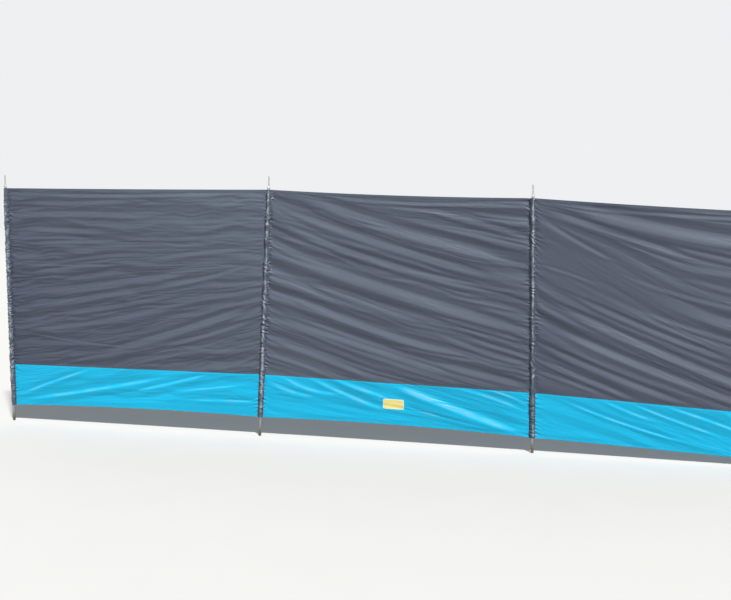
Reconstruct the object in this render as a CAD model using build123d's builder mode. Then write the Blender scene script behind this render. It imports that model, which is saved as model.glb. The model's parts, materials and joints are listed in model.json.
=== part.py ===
from build123d import *
from math import acos, atan2, cos, hypot, sin, sqrt, tan
import os

# Beach windbreak: three bays of stretched cloth, two colours high, carried by four
# sectional steel poles that stand in sleeves sewn to the cloth.
# Millimetres. X runs along the row, Y goes through the cloth, Z is up.
# The origin is the middle of the first pole's foot, at ground level.

# The row: bays between pole feet, and how each pole stands
BAY_WIDTH = 1667.0
POLE_LIFT = (100.0, 115.0, 88.0, 18.0)  # ground to the cloth's lower edge at each pole
POLE_LEAN = (-14.0, 52.0, -36.0, 0.0)  # sideways travel of each pole over the cloth's height

# The cloth
CLOTH_HEIGHT = 1400.0
BAND_HEIGHT = 268.0  # light band along the lower edge
CLOTH = 1.0  # thickness of one layer
TOP_HEM = 25.0
BOTTOM_HEM = 16.0
SEAM_LAP = 12.0  # how far the band runs up and down behind the seam
TOP_SAG = (2.0, 10.0, 7.0)  # how far each bay's upper edge hangs at its middle
BOTTOM_RISE = (16.0, 16.0, 6.0)  # how far each bay's lower edge is drawn up at its middle

# The sleeves sewn over the poles
SLEEVE_WIDTH = 47.0
STITCH_MARGIN = 8.0  # flat edge of the sleeve that is sewn to the cloth
SLEEVE_CLEARANCE = 0.3

# The poles: three tubes that plug into each other
POLE_RADIUS = 8.0
POLE_WALL = 1.0
SECTION_LENGTH = 490.0
SPIGOT_LENGTH = 45.0
SPIGOT_WALL = 0.9
PLUG_FIT = 0.1  # radial clearance of everything that plugs in

# The pole tips: a turned pin in a plug, a collar and an eyelet
PLUG_HEAD = 3.0
PLUG_LENGTH = 28.0
PLUG_BORE_DEPTH = 22.0
EYELET_FLANGE = 0.8
EYELET_WALL = 0.7
EYELET_FIT = 0.2
COLLAR_HEIGHT = 18.0
COLLAR_RADIUS = 9.5
COLLAR_NECK = 7.0
COLLAR_BEVEL = 4.0  # height of the cone at each end of the collar
PIN_SHANK_RADIUS = 4.0
PIN_LOWER_RADIUS = 5.0
PIN_LOWER_LENGTH = 24.0
PIN_GROOVE_RADIUS = 3.0
PIN_GROOVE_LENGTH = 3.0
PIN_UPPER_RADIUS = 4.5
PIN_UPPER_LENGTH = 37.0
PIN_NOSE = 2.0  # bevel of the free end

# The plain patch in the middle of one band
LABEL_BAY = 1
LABEL_WIDTH = 128.0
LABEL_HEIGHT = 64.0

os.makedirs("parts", exist_ok=True)

# Levels along a pole, measured from the cloth's lower edge
LID_BOTTOM = CLOTH_HEIGHT - CLOTH
PLUG_TOP = LID_BOTTOM - EYELET_FLANGE
TUBE_TOP = PLUG_TOP - PLUG_HEAD
UPPER_JOINT = CLOTH_HEIGHT - SECTION_LENGTH
LOWER_JOINT = UPPER_JOINT - SECTION_LENGTH
COLLAR_BOTTOM = CLOTH_HEIGHT + EYELET_FLANGE
PIN_LOWER = COLLAR_BOTTOM + COLLAR_HEIGHT
PIN_GROOVE = PIN_LOWER + PIN_LOWER_LENGTH
PIN_UPPER = PIN_GROOVE + PIN_GROOVE_LENGTH
PIN_TOP = PIN_UPPER + PIN_UPPER_LENGTH

# Planes of the cloth: its front face touches the back of the pole's clearance
TUNNEL_RADIUS = POLE_RADIUS + SLEEVE_CLEARANCE
CLOTH_FRONT = TUNNEL_RADIUS
CLOTH_BACK = CLOTH_FRONT + CLOTH
TUNNEL_HALF_WIDTH = SLEEVE_WIDTH / 2 - STITCH_MARGIN
FLANK_ANGLE = atan2(CLOTH_FRONT, TUNNEL_HALF_WIDTH) - acos(
    TUNNEL_RADIUS / hypot(TUNNEL_HALF_WIDTH, CLOTH_FRONT)
)
BORE_RADIUS = POLE_RADIUS - POLE_WALL
SPIGOT_RADIUS = BORE_RADIUS - PLUG_FIT


def pole_plane(pole, level):
    """Plane across a pole at a level above the cloth's lower edge."""
    lean = POLE_LEAN[pole] / CLOTH_HEIGHT
    rise = sqrt(1 - lean**2)
    along = POLE_LIFT[pole] / rise + level
    middle = (pole * BAY_WIDTH + lean * along, 0, rise * along)
    return Plane(origin=middle, x_dir=(rise, 0, -lean), z_dir=(lean, 0, rise))


def axial_plane(pole):
    """Plane through a pole's axis: its Y is the level, its X the radius."""
    base = pole_plane(pole, 0)
    return Plane(origin=base.origin, x_dir=base.x_dir, z_dir=(0, -1, 0))


def turned(pole, points):
    """A ring turned about a pole's axis from a closed profile of radius and level."""
    with BuildPart() as ring:
        with BuildSketch(axial_plane(pole)):
            with BuildLine():
                Polyline(points, close=True)
            make_face()
        revolve(axis=Axis(pole_plane(pole, 0).origin, pole_plane(pole, 0).z_dir))
    return ring.part


def lower_tube(pole):
    """The bottom tube, cut off level with the ground."""
    with BuildPart() as tube:
        with BuildSketch(pole_plane(pole, LOWER_JOINT)):
            Circle(POLE_RADIUS)
            Circle(BORE_RADIUS, mode=Mode.SUBTRACT)
        extrude(amount=-(LOWER_JOINT + POLE_LIFT[pole] + POLE_RADIUS))
        split(bisect_by=Plane.XY, keep=Keep.TOP)
    return tube.part


def plugged_tube(pole, bottom, top):
    """A tube whose swaged lower end plugs into the tube below it."""
    spigot_bore = SPIGOT_RADIUS - SPIGOT_WALL
    profile = [
        (BORE_RADIUS, top),
        (POLE_RADIUS, top),
        (POLE_RADIUS, bottom),
        (SPIGOT_RADIUS, bottom),
        (SPIGOT_RADIUS, bottom - SPIGOT_LENGTH),
        (spigot_bore, bottom - SPIGOT_LENGTH),
        (spigot_bore, bottom + POLE_WALL),
        (BORE_RADIUS, bottom + POLE_WALL + SPIGOT_WALL),
    ]
    return turned(pole, profile)


def tip_plug(pole):
    """The plug that closes the top tube and holds the pin."""
    pin_bore = PIN_SHANK_RADIUS + PLUG_FIT
    bore_bottom = PLUG_TOP - PLUG_BORE_DEPTH
    profile = [
        (0, TUBE_TOP - PLUG_LENGTH),
        (SPIGOT_RADIUS, TUBE_TOP - PLUG_LENGTH),
        (SPIGOT_RADIUS, TUBE_TOP),
        (POLE_RADIUS, TUBE_TOP),
        (POLE_RADIUS, PLUG_TOP),
        (pin_bore, PLUG_TOP),
        (pin_bore, bore_bottom),
        (0, bore_bottom),
    ]
    return turned(pole, profile)


def tip_pin(pole):
    """The turned pin, grooved at half its height, with a bevelled nose."""
    with BuildPart() as pin:
        for radius, bottom, top in (
            (PIN_SHANK_RADIUS, PLUG_TOP - PLUG_BORE_DEPTH, PIN_LOWER),
            (PIN_LOWER_RADIUS, PIN_LOWER, PIN_GROOVE),
            (PIN_GROOVE_RADIUS, PIN_GROOVE, PIN_UPPER),
            (PIN_UPPER_RADIUS, PIN_UPPER, PIN_TOP),
        ):
            with BuildSketch(pole_plane(pole, bottom)):
                Circle(radius)
            extrude(amount=top - bottom)
        nose = pin.edges().filter_by(GeomType.CIRCLE).sort_by(Axis.Z)[-1]
        chamfer(nose, length=PIN_NOSE)
    return pin.part


def tip_collar(pole):
    """The barrel-shaped collar that keeps the cloth down on the pole."""
    bore = PIN_SHANK_RADIUS + PLUG_FIT
    top = COLLAR_BOTTOM + COLLAR_HEIGHT
    profile = [
        (bore, COLLAR_BOTTOM),
        (COLLAR_NECK, COLLAR_BOTTOM),
        (COLLAR_RADIUS, COLLAR_BOTTOM + COLLAR_BEVEL),
        (COLLAR_RADIUS, top - COLLAR_BEVEL),
        (COLLAR_NECK, top),
        (bore, top),
    ]
    return turned(pole, profile)


def eyelet(pole):
    """The eyelet pressed through the sleeve's lid, with a flange on each side."""
    hole = PIN_SHANK_RADIUS + EYELET_FIT
    barrel = hole + EYELET_WALL
    profile = [
        (hole, PLUG_TOP),
        (POLE_RADIUS, PLUG_TOP),
        (POLE_RADIUS, LID_BOTTOM),
        (barrel, LID_BOTTOM),
        (barrel, CLOTH_HEIGHT),
        (POLE_RADIUS, CLOTH_HEIGHT),
        (POLE_RADIUS, COLLAR_BOTTOM),
        (hole, COLLAR_BOTTOM),
    ]
    return turned(pole, profile)


def tunnel_outline(wall):
    """The sleeve's section: an arc round the pole and a straight flank each side."""
    radius = TUNNEL_RADIUS + wall
    side_x = radius * cos(FLANK_ANGLE)
    side_y = radius * sin(FLANK_ANGLE)
    foot_x = side_x - (CLOTH_FRONT - side_y) * tan(FLANK_ANGLE)
    with BuildLine() as outline:
        Line((-foot_x, CLOTH_FRONT), (-side_x, side_y))
        ThreePointArc((-side_x, side_y), (0, -radius), (side_x, side_y))
        Line((side_x, side_y), (foot_x, CLOTH_FRONT))
        Line((foot_x, CLOTH_FRONT), (-foot_x, CLOTH_FRONT))
    return outline.line


def sleeve(pole):
    """The sewn sleeve: a strip over the pole, open below and closed by a lid above."""
    with BuildPart() as strip:
        with BuildSketch(pole_plane(pole, 0)):
            with Locations((0, CLOTH_FRONT - CLOTH / 2)):
                Rectangle(SLEEVE_WIDTH, CLOTH)
            make_face(tunnel_outline(CLOTH).edges())
            make_face(tunnel_outline(0).edges(), mode=Mode.SUBTRACT)
        extrude(amount=LID_BOTTOM)
        with BuildSketch(pole_plane(pole, LID_BOTTOM)):
            with Locations((0, CLOTH_FRONT - CLOTH / 2)):
                Rectangle(SLEEVE_WIDTH, CLOTH)
            make_face(tunnel_outline(CLOTH).edges())
            Circle(PIN_SHANK_RADIUS + EYELET_FIT + EYELET_WALL, mode=Mode.SUBTRACT)
        extrude(amount=CLOTH)
    return strip.part


def bay_strip(bay, low, high, low_bow, high_bow):
    """Outline of a strip of one bay between two levels, in the plane of the row.

    A bow is how far the edge's middle stands above the line between the poles. At
    the row's two ends the cloth runs on past the pole, as far as the sleeve does.
    """

    def point(place):
        return (place.X, place.Z)

    def edge(level, bow):
        left = pole_plane(bay, level)
        right = pole_plane(bay + 1, level)
        start = left.origin
        end = right.origin
        if bow:
            ThreePointArc(point(start), point((start + end) / 2 + Vector(0, 0, bow)), point(end))
        else:
            Line(point(start), point(end))
        if bay == 0:
            start = start - left.x_dir * SLEEVE_WIDTH / 2
            Line(point(start), point(left.origin))
        if bay == len(TOP_SAG) - 1:
            end = end + right.x_dir * SLEEVE_WIDTH / 2
            Line(point(right.origin), point(end))
        return point(start), point(end)

    with BuildLine() as outline:
        low_left, low_right = edge(low, low_bow)
        high_left, high_right = edge(high, high_bow)
        Line(low_left, high_left)
        Line(low_right, high_right)
    make_face(outline.edges())


def cloth_plane(y):
    """Plane of the row at a distance behind the poles' axes: X along it, Y up."""
    return Plane(origin=(0, y, 0), x_dir=(1, 0, 0), z_dir=(0, -1, 0))


def upper_cloth(bay):
    """The dark cloth of one bay, with its upper edge folded back as a hem."""
    with BuildPart() as cloth:
        with BuildSketch(cloth_plane(CLOTH_FRONT)):
            bay_strip(bay, BAND_HEIGHT, CLOTH_HEIGHT, 0, -TOP_SAG[bay])
        extrude(amount=-CLOTH)
        with BuildSketch(cloth_plane(CLOTH_BACK)):
            bay_strip(bay, CLOTH_HEIGHT - TOP_HEM, CLOTH_HEIGHT, -TOP_SAG[bay], -TOP_SAG[bay])
        extrude(amount=-CLOTH)
    return cloth.part


def lower_band(bay):
    """The light band of one bay, hemmed below and lapped behind the seam above."""
    with BuildPart() as band:
        with BuildSketch(cloth_plane(CLOTH_FRONT)):
            bay_strip(bay, 0, BAND_HEIGHT, BOTTOM_RISE[bay], 0)
        extrude(amount=-CLOTH)
        with BuildSketch(cloth_plane(CLOTH_BACK)):
            bay_strip(bay, 0, BOTTOM_HEM, BOTTOM_RISE[bay], BOTTOM_RISE[bay])
        extrude(amount=-CLOTH)
        with BuildSketch(cloth_plane(CLOTH_BACK)):
            bay_strip(bay, BAND_HEIGHT - SEAM_LAP, BAND_HEIGHT + SEAM_LAP, 0, 0)
        extrude(amount=-CLOTH)
    return band.part


def label_patch():
    """The plain patch sewn to the front of a band, in the middle of its bay."""
    left = pole_plane(LABEL_BAY, BAND_HEIGHT / 2).origin
    right = pole_plane(LABEL_BAY + 1, BAND_HEIGHT / 2).origin
    middle = (left + right) / 2 + Vector(0, CLOTH_FRONT, 0)
    with BuildPart() as patch:
        with BuildSketch(Plane(origin=middle, x_dir=right - left, z_dir=(0, -1, 0))):
            Rectangle(LABEL_WIDTH, LABEL_HEIGHT)
        extrude(amount=CLOTH)
    return patch.part


def save(piece, name):
    """Label a finished piece and write it under its name."""
    piece.label = name
    export_step(piece, f"parts/{name}.step")


for pole in range(len(POLE_LIFT)):
    name = f"pole_{pole + 1}"
    save(lower_tube(pole), f"{name}_lower_tube")
    save(plugged_tube(pole, LOWER_JOINT, UPPER_JOINT), f"{name}_middle_tube")
    save(plugged_tube(pole, UPPER_JOINT, TUBE_TOP), f"{name}_upper_tube")
    save(tip_plug(pole), f"{name}_tip_plug")
    save(tip_pin(pole), f"{name}_tip_pin")
    save(tip_collar(pole), f"{name}_tip_collar")
    save(eyelet(pole), f"{name}_eyelet")
    save(sleeve(pole), f"{name}_sleeve")

for bay in range(len(TOP_SAG)):
    save(upper_cloth(bay), f"bay_{bay + 1}_upper_cloth")
    save(lower_band(bay), f"bay_{bay + 1}_lower_band")

save(label_patch(), "label_patch")
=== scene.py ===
import functools
import json
import math

import bpy
import numpy as np
from mathutils import Matrix, Vector


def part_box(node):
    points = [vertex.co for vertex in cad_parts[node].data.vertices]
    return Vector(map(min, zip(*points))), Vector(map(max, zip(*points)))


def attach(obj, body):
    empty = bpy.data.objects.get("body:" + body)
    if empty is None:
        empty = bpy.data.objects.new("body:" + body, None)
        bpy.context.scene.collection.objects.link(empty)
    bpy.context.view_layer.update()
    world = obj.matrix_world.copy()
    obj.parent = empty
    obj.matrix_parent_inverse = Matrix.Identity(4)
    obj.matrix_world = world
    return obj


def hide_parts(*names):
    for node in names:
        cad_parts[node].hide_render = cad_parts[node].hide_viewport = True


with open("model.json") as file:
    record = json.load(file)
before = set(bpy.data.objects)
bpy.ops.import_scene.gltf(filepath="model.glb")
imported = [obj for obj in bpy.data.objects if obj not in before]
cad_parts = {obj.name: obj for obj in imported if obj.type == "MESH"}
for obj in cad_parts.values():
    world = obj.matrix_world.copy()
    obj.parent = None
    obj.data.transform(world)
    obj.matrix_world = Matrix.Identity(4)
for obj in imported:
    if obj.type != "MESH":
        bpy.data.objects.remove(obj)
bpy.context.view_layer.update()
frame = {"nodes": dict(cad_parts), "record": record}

bl_info = {
    "name": "Beach windbreak",
    "version": (1, 0, 0),
    "blender": (4, 5, 0),
    "location": "3D View > Sidebar > Windbreak",
    "description": "Dresses a stretched cloth windbreak: folded cloth, sleeves, stitching and steel poles",
    "category": "Object",
}

# Places read from the frame: X along the row, Y through the cloth, Z up, in metres
MOUNTS = {mount["name"]: mount for mount in frame["record"]["mounts"]}
POLES = sum(name.endswith("_foot") for name in MOUNTS)
BAYS = POLES - 1
MIDDLE_BAY = BAYS // 2
FEET = [Vector(MOUNTS[f"pole_{i + 1}_foot"]["pos_m"]) for i in range(POLES)]
AXES = [Vector(MOUNTS[f"pole_{i + 1}_guy_pin"]["axis"]).normalized() for i in range(POLES)]
BAY_LENGTHS = [(right - left).length for left, right in zip(FEET, FEET[1:])]

# The cut of the cloth
CLOTH_HEIGHT = 1.400
BAND_HEIGHT = 0.268
TOP_HEM = 0.025
BOTTOM_HEM = 0.016
SEAM_LAP = 0.012
TURNED_EDGE = 0.010
TOP_SAG = (0.002, 0.010, 0.007)
BOTTOM_RISE = (0.016, 0.016, 0.006)
CLOTH_MIDDLE = 0.0088  # how far the cloth's middle lies behind the poles' axes
PATCH_SIZE = (0.128, 0.064)
PATCH_GAP = 0.00015
PATCH_PUFF = 0.0004

# The sleeves
SLEEVE_WIDTH = 0.047
SLEEVE_INSET = 0.0008  # from a sleeve's ends to the cloth's edges
END_OVERHANG = 0.0135
# How far each sleeve reaches left and right of its pole's axis, at the cloth's lower edge and at its top
SLEEVE_REACH = (
    ((END_OVERHANG, 0.0165), (END_OVERHANG, 0.0205)),
    ((0.0235, 0.0135), (0.0140, 0.0235)),
    ((0.0190, 0.0175), (0.0235, 0.0155)),
    ((0.0200, END_OVERHANG), (0.0220, END_OVERHANG)),
)
TUNNEL_RADIUS = 0.0084
SEWN_GAP = 0.0001
SEWN_EDGE = 0.003  # from the first and last stitch of a sleeve to the cloth's edges
FLAT_LEAD = 0.001  # how far the sleeves' flat edges are first laid in front of the cloth's middle
EYELET_HOLE = 0.0050
LID_THICKNESS = 0.0006

# Rows of stitches: levels, and how far inside its edge the patch is sewn
TOP_STITCH = CLOTH_HEIGHT - 0.021
SEAM_STITCHES = (BAND_HEIGHT + 0.0025, BAND_HEIGHT + 0.0085)
BOTTOM_STITCH = 0.0125
PATCH_STITCH = 0.0022

# Planes of the turned edges behind the cloth's front layer
HEM_DEPTH = 0.0010
LAP_DEPTH = 0.0009
TURNED_DEPTH = 0.0018

# The turned pieces on the poles' tips, from the bottom up: (height above the collar's foot, radius)
COLLAR_LEVEL = CLOTH_HEIGHT + 0.0008
COLLAR = (
    (0.0, 0.0066), (0.0003, 0.0070), (0.0022, 0.0085), (0.0045, 0.0093), (0.0070, 0.0095), (0.0110, 0.0095),
    (0.0135, 0.0093), (0.0158, 0.0085), (0.0177, 0.0070), (0.0180, 0.0066), (0.0180, 0.0052),
)
PIN = (
    (-0.0220, 0.0036), (-0.0216, 0.0040), (0.0179, 0.0040), (0.0180, 0.0046), (0.0184, 0.0050),
    (0.0200, 0.0050), (0.0202, 0.0049), (0.0416, 0.0049), (0.0420, 0.0045), (0.0421, 0.0031),
    (0.0424, 0.0030), (0.0446, 0.0030), (0.0449, 0.0031), (0.0450, 0.0041), (0.0454, 0.0045),
    (0.0790, 0.0045), (0.0801, 0.0042), (0.0810, 0.0035), (0.0817, 0.0025), (0.0820, 0.0012),
)

# Folds drawn for each bay. Each runs along a smooth line through three places, given as percent of
# the bay and a level in mm; then come the width of its lit face in mm and how steep it is in percent
FOLDS = (
    (
        # Along the hem
        (2, 1366, 45, 1357, 97, 1386, 20, 20),
        # The dark cloth
        (3, 1310, 30, 1312, 55, 1332, 24, 10), (4, 1232, 30, 1242, 58, 1228, 34, 12),
        (4, 1152, 20, 1140, 42, 1136, 30, 13), (5, 1050, 25, 1064, 46, 1078, 22, 12),
        (45, 1215, 70, 1200, 95, 1235, 26, 5), (40, 1105, 65, 1095, 97, 1150, 22, 6),
        (2, 926, 25, 916, 48, 930, 13, 16), (12, 905, 30, 962, 55, 1000, 20, 13),
        (6, 842, 20, 892, 42, 924, 26, 12), (5, 725, 35, 788, 72, 886, 46, 14),
        (2, 622, 40, 738, 90, 896, 36, 14), (18, 596, 45, 672, 72, 770, 24, 12),
        (8, 498, 35, 560, 66, 680, 30, 12), (34, 352, 62, 488, 98, 704, 44, 20),
        (58, 412, 78, 498, 99, 622, 25, 16), (22, 298, 36, 342, 52, 396, 20, 15),
        (66, 436, 84, 408, 99, 442, 14, 10), (1, 502, 22, 440, 62, 414, 13, 15),
        (48, 296, 60, 348, 74, 396, 20, 12), (84, 296, 92, 340, 99, 396, 16, 13),
        (55, 960, 75, 1010, 97, 1046, 22, 10), (62, 800, 80, 868, 97, 962, 20, 12),
        # The band
        (3, 72, 16, 156, 33, 262, 15, 38), (3, 34, 30, 106, 64, 228, 22, 33),
        (50, 118, 64, 180, 80, 258, 18, 30), (68, 134, 80, 164, 93, 196, 15, 24),
        (72, 80, 86, 88, 99, 94, 14, 24),
    ),
    (
        # Along the hem
        (16, 1384, 55, 1354, 95, 1374, 20, 20),
        # The dark cloth
        (8, 1392, 40, 1236, 100, 1030, 62, 19), (0, 1316, 35, 1146, 95, 902, 42, 18),
        (14, 1330, 30, 1236, 46, 1196, 20, 12), (0, 1226, 35, 1036, 92, 846, 38, 18),
        (2, 1036, 38, 872, 100, 618, 64, 20), (12, 880, 32, 776, 64, 628, 28, 15),
        (6, 790, 35, 620, 76, 462, 42, 16), (0, 648, 35, 494, 82, 300, 34, 17),
        (2, 486, 22, 402, 44, 282, 30, 17), (0, 402, 12, 360, 26, 288, 24, 15),
        (46, 508, 64, 462, 84, 428, 18, 18), (66, 576, 84, 488, 100, 428, 30, 16),
        (62, 704, 82, 630, 100, 556, 22, 18), (60, 1328, 80, 1252, 100, 1168, 32, 15),
        (76, 1318, 88, 1292, 100, 1276, 18, 14), (78, 1184, 90, 1142, 100, 1112, 18, 15),
        (62, 420, 80, 360, 100, 298, 36, 16), (46, 404, 60, 350, 78, 280, 28, 15),
        (50, 966, 66, 926, 84, 880, 18, 14), (66, 820, 80, 790, 96, 742, 18, 14),
        (4, 1128, 18, 1074, 30, 1012, 22, 12),
        # The band
        (48, 272, 70, 146, 98, 12, 42, 40), (18, 270, 30, 190, 48, 84, 22, 30),
        (27, 272, 38, 216, 49, 164, 24, 30), (2, 236, 12, 170, 20, 150, 18, 24),
        (8, 262, 17, 200, 30, 176, 20, 27), (72, 268, 84, 226, 98, 150, 16, 26),
        (84, 266, 92, 236, 99, 186, 14, 22), (54, 122, 61, 96, 70, 62, 14, 22),
    ),
    (
        # Along the hem
        (5, 1380, 50, 1352, 98, 1372, 20, 20),
        # The dark cloth
        (6, 1396, 35, 1290, 100, 1196, 70, 19), (1, 1346, 28, 1226, 56, 1092, 34, 18),
        (1, 1306, 12, 1192, 27, 1074, 22, 19), (22, 1226, 38, 1134, 54, 1046, 20, 11),
        (10, 878, 35, 716, 72, 526, 28, 17), (1, 838, 35, 612, 92, 300, 44, 21),
        (4, 676, 35, 488, 78, 280, 42, 21), (1, 562, 25, 414, 54, 274, 34, 19),
        (0, 474, 16, 386, 36, 274, 28, 18), (0, 404, 10, 364, 24, 288, 20, 15),
        (28, 1006, 45, 920, 68, 846, 22, 8), (33, 810, 52, 722, 80, 600, 24, 12),
        (46, 1016, 70, 930, 100, 836, 26, 8), (60, 1180, 76, 1110, 100, 1058, 30, 12),
        (62, 760, 80, 668, 100, 590, 26, 16), (70, 560, 84, 480, 100, 404, 26, 16),
        (66, 420, 80, 352, 94, 290, 24, 16), (2, 1020, 10, 990, 22, 930, 18, 10),
        # The band
        (8, 254, 28, 148, 54, 52, 12, 36), (24, 262, 33, 206, 43, 160, 11, 28),
        (33, 262, 48, 182, 64, 110, 12, 32), (44, 264, 60, 196, 80, 92, 14, 30),
        (62, 262, 78, 190, 98, 60, 20, 30), (80, 266, 90, 226, 99, 170, 13, 26),
    ),
)

# Lines that each bay's small folds follow, from the lower edge up: levels in mm at the left pole, the
# middle of the bay and the right pole
GUIDES = (
    ((0, 40, 90), (180, 330, 560), (420, 560, 760), (700, 830, 900), (1050, 1060, 1060), (1400, 1398, 1400)),
    (
        (0, -60, -40), (400, 190, 20), (640, 420, 250), (1030, 820, 620), (1392, 1200, 1030),
        (1404, 1390, 1404),
    ),
    (
        (0, -150, -250), (470, 180, -60), (850, 520, 260), (1300, 850, 590), (1340, 1130, 950),
        (1380, 1250, 1190), (1404, 1393, 1404),
    ),
)
GUIDE_SPACING = 0.25  # metres of small folds that fit between two guide lines
# How strongly each bay's drawn folds stand out in the dark cloth and in the band, and the layers of small
# folds between them: length along and spacing across in metres, then their slope
DRAWN_FOLDS = (2.15, 1.85, 2.05)
BAND_FOLDS = (1.4, 1.05, 1.35)
SMALL_FOLDS = (
    ((0.52, 0.108, 0.20), (0.30, 0.047, 0.17), (0.14, 0.020, 0.21)),
    ((1.50, 0.112, 0.25), (0.90, 0.052, 0.20), (0.34, 0.025, 0.15)),
    ((1.10, 0.104, 0.22), (0.60, 0.050, 0.11), (0.24, 0.025, 0.07)),
)
FOLD_SEEDS = (11, 23, 37)
FOLD_WANDER = (0.6, 0.8, 0.8)  # how far each bay's small folds stray from straight, in spacings
# Calm places of each bay: share of the bay and level of the middle, reach along and up, and the share of
# the small folds' depth that is left there
CALM_PLACES = (
    ((0.72, 1.16, 0.40, 0.22, 0.45), (0.25, 1.30, 0.30, 0.10, 0.7)),
    ((0.30, 1.36, 0.18, 0.07, 0.5), (0.72, 1.26, 0.20, 0.10, 0.6), (0.12, 0.68, 0.14, 0.12, 0.6)),
    ((0.14, 1.03, 0.18, 0.20, 0.3), (0.48, 0.93, 0.24, 0.14, 0.5), (0.45, 0.62, 0.40, 0.20, 0.6)),
)
BAND_CALM = 0.25  # share of the small folds' depth that is left in the band
# How steep the shaded faces beside a drawn fold's lit face are, in the dark cloth and in the band
SHADED_FACES = (0.72, 0.26)
# How strongly the lit faces of the drawn folds are painted with highlight in each bay's band and in its dark
# cloth
BAND_CREST_LIGHT = (0.60, 0.80, 0.65)
DARK_CREST_LIGHT = (0.30, 0.16, 0.24)
# How much lighter painted light makes the dark cloth in each bay's corners: below left, below right, above
# left, above right
CORNER_LIGHT = ((0.0, 0.44, 0.38, 1.0), (0.63, 0.43, 0.69, 0.54), (0.27, 0.56, 0.38, 0.74))
# The steepest that a fold's face gets in each bay's dark cloth, and in the band
STEEPEST = (0.28, 0.29, 0.29)
STEEPEST_BAND = 0.50
FIELD_STEPS = (0.0025, 0.008)  # metres between the points where the folds are worked out, up and along
FIELD_EDGE = 0.02
DRIFT_REACH = 0.06  # metres over which flattened folds are brought back to their height
DEEPEST = 0.012  # how far a fold can stand out
# Share of the folds' height that the stiffer upper hem, lower hem and seam take away
UPPER_STIFFNESS = 0.6
LOWER_STIFFNESS = 0.45
SEAM_STIFFNESS = 0.35
SEWN_DIP = 0.0007  # how far the cloth is drawn in along a row of stitches
BELLY = 0.004  # how far the middle of a bay stands out
FOLD_TAPER = 0.45  # how much narrower a drawn fold is at its ends
FULLY_HIGHLIT = 0.2  # steepness of a drawn fold from which its lit face gets the strongest painted highlight
# Small gathers along the rows of stitches: level, reach, spacing and depth in metres, then their seed
ROW_GATHERS = (
    (BAND_HEIGHT + 0.005, 0.012, 0.016, 0.0008, 61), (TOP_STITCH, 0.012, 0.020, 0.0010, 62),
    (BOTTOM_STITCH, 0.010, 0.018, 0.0008, 63),
)
# Gathers beside the seams of the sleeves at each bay's left and right: depth in metres, and how they slant
SEAM_GATHERS = ((0.0014, 0.0021), (0.0028, 0.0014), (0.0014, 0.0012))
SEAM_SLANTS = ((0.0, 0.6), (0.5, -0.2), (0.5, -0.3))
SMALL_GATHERS = 0.0148  # metres from one gather to the next
LARGE_GATHERS = 0.031
# Depth and reach in metres of the part of the small gathers that runs further out, and of the large ones
FAR_GATHERS = ((0.0008, 0.035), (0.0015, 0.050))
NEAR_REACH = 0.010
# How crumpled each sleeve is and how strongly its ridge is painted with highlight, from the cloth's lower
# edge to its top
SLEEVE_CRUMPLE = ((0.5, 1.2, 1.1, 0.6), (0.5, 0.9, 0.6, 0.2), (0.3, 0.15, 0.1, 0.2), (0.5, 0.6, 0.5, 0.5))
RIDGE_HIGHLIGHTS = ((0.0, 0.1, 0.1, 0.1), (0.4, 0.5, 0.15, 0.5), (0.05, 0.25, 0.4, 0.5), (0.3, 0.3, 0.3, 0.3))
CREASES = ((0.026, 42.0), (0.021, -58.0), (0.048, 12.0))  # spacing and slant of each layer of creases
CREASE_HIGHLIGHTS = (0.4, 0.35, 0.3, 0.3)  # strength of the painted highlight on the ridges of each sleeve's creases
# How strong the painted highlight is on the tops of the gathers in each sleeve's left and right seam
SEAM_HIGHLIGHTS = ((0.3, 0.5), (0.5, 1.6), (0.2, 0.5), (0.4, 0.4))
# How dark the painted shade is in the valley inside each sleeve's left and right seam
SEAM_PAINTED_SHADE = ((1.0, 0.4), (0.5, 0.4), (1.0, 0.7), (0.5, 0.5))

# Colours of small things, and the studio
SOIL = (0.115, 0.085, 0.058)
PATCH_BORDER = (0.86, 0.90, 0.74)
PATCH_THREAD = (0.62, 0.60, 0.42)
LIGHT_THREAD = (0.10, 0.58, 0.82)
SKY_LIGHT = (0.93, 0.96, 1.0)
SUN_LIGHT = (1.0, 0.985, 0.965)
FLOOR_BOUNCE = (0.12, 0.12, 0.117)  # the floor's colour for the light that it throws back
FLOOR_RADIUS = 34
FLOOR_FADES = (9.0, 26.0)  # metres from the middle over which the floor turns into the backdrop
SUN_WIDTH = math.radians(5)
SUN_DIRECTION = (-0.27, 0.47, -0.84)


def a_length(name, description, default):
    return bpy.props.FloatProperty(name=name, description=description, default=default, unit="LENGTH")


def a_number(name, description, default, subtype="NONE"):
    return bpy.props.FloatProperty(name=name, description=description, default=default, subtype=subtype)


def a_colour(name, description, default):
    return bpy.props.FloatVectorProperty(name=name, description=description, default=default, subtype="COLOR")


class ClothSettings(bpy.types.PropertyGroup):
    """The cloth's gauge, mesh and colours."""

    thickness: a_length("Thickness", "Thickness of one layer of cloth", 0.0007)
    rows: a_length("Row spacing", "Distance between the mesh's rows", 0.0037)
    columns: a_length("Column spacing", "Distance between the mesh's columns", 0.014)
    fold_depth: a_number("Fold depth", "Scale of every fold's depth", 1.0, "FACTOR")
    # The dark cloth runs between these two colours: shadowed where painted shade darkens it, sunlit where
    # painted light brightens it, with random blotches between
    shadowed: a_colour("Shadowed cloth", "Colour of the dark cloth where it is fresh", (0.052, 0.060, 0.096))
    sunlit: a_colour("Sunlit cloth", "Colour of the dark cloth where it is faded", (0.098, 0.124, 0.165))
    light: a_colour("Band", "Colour of the band along the lower edge", (0.002, 0.50, 0.82))
    # Colour of the painted highlight on the lit faces of the band's folds
    crest_highlights: a_colour("Band, rubbed", "Colour of the band where its folds are rubbed pale", (0.10, 0.47, 0.70))
    patch: a_colour("Patch", "Colour of the sewn patch", (0.94, 0.82, 0.29))


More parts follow.
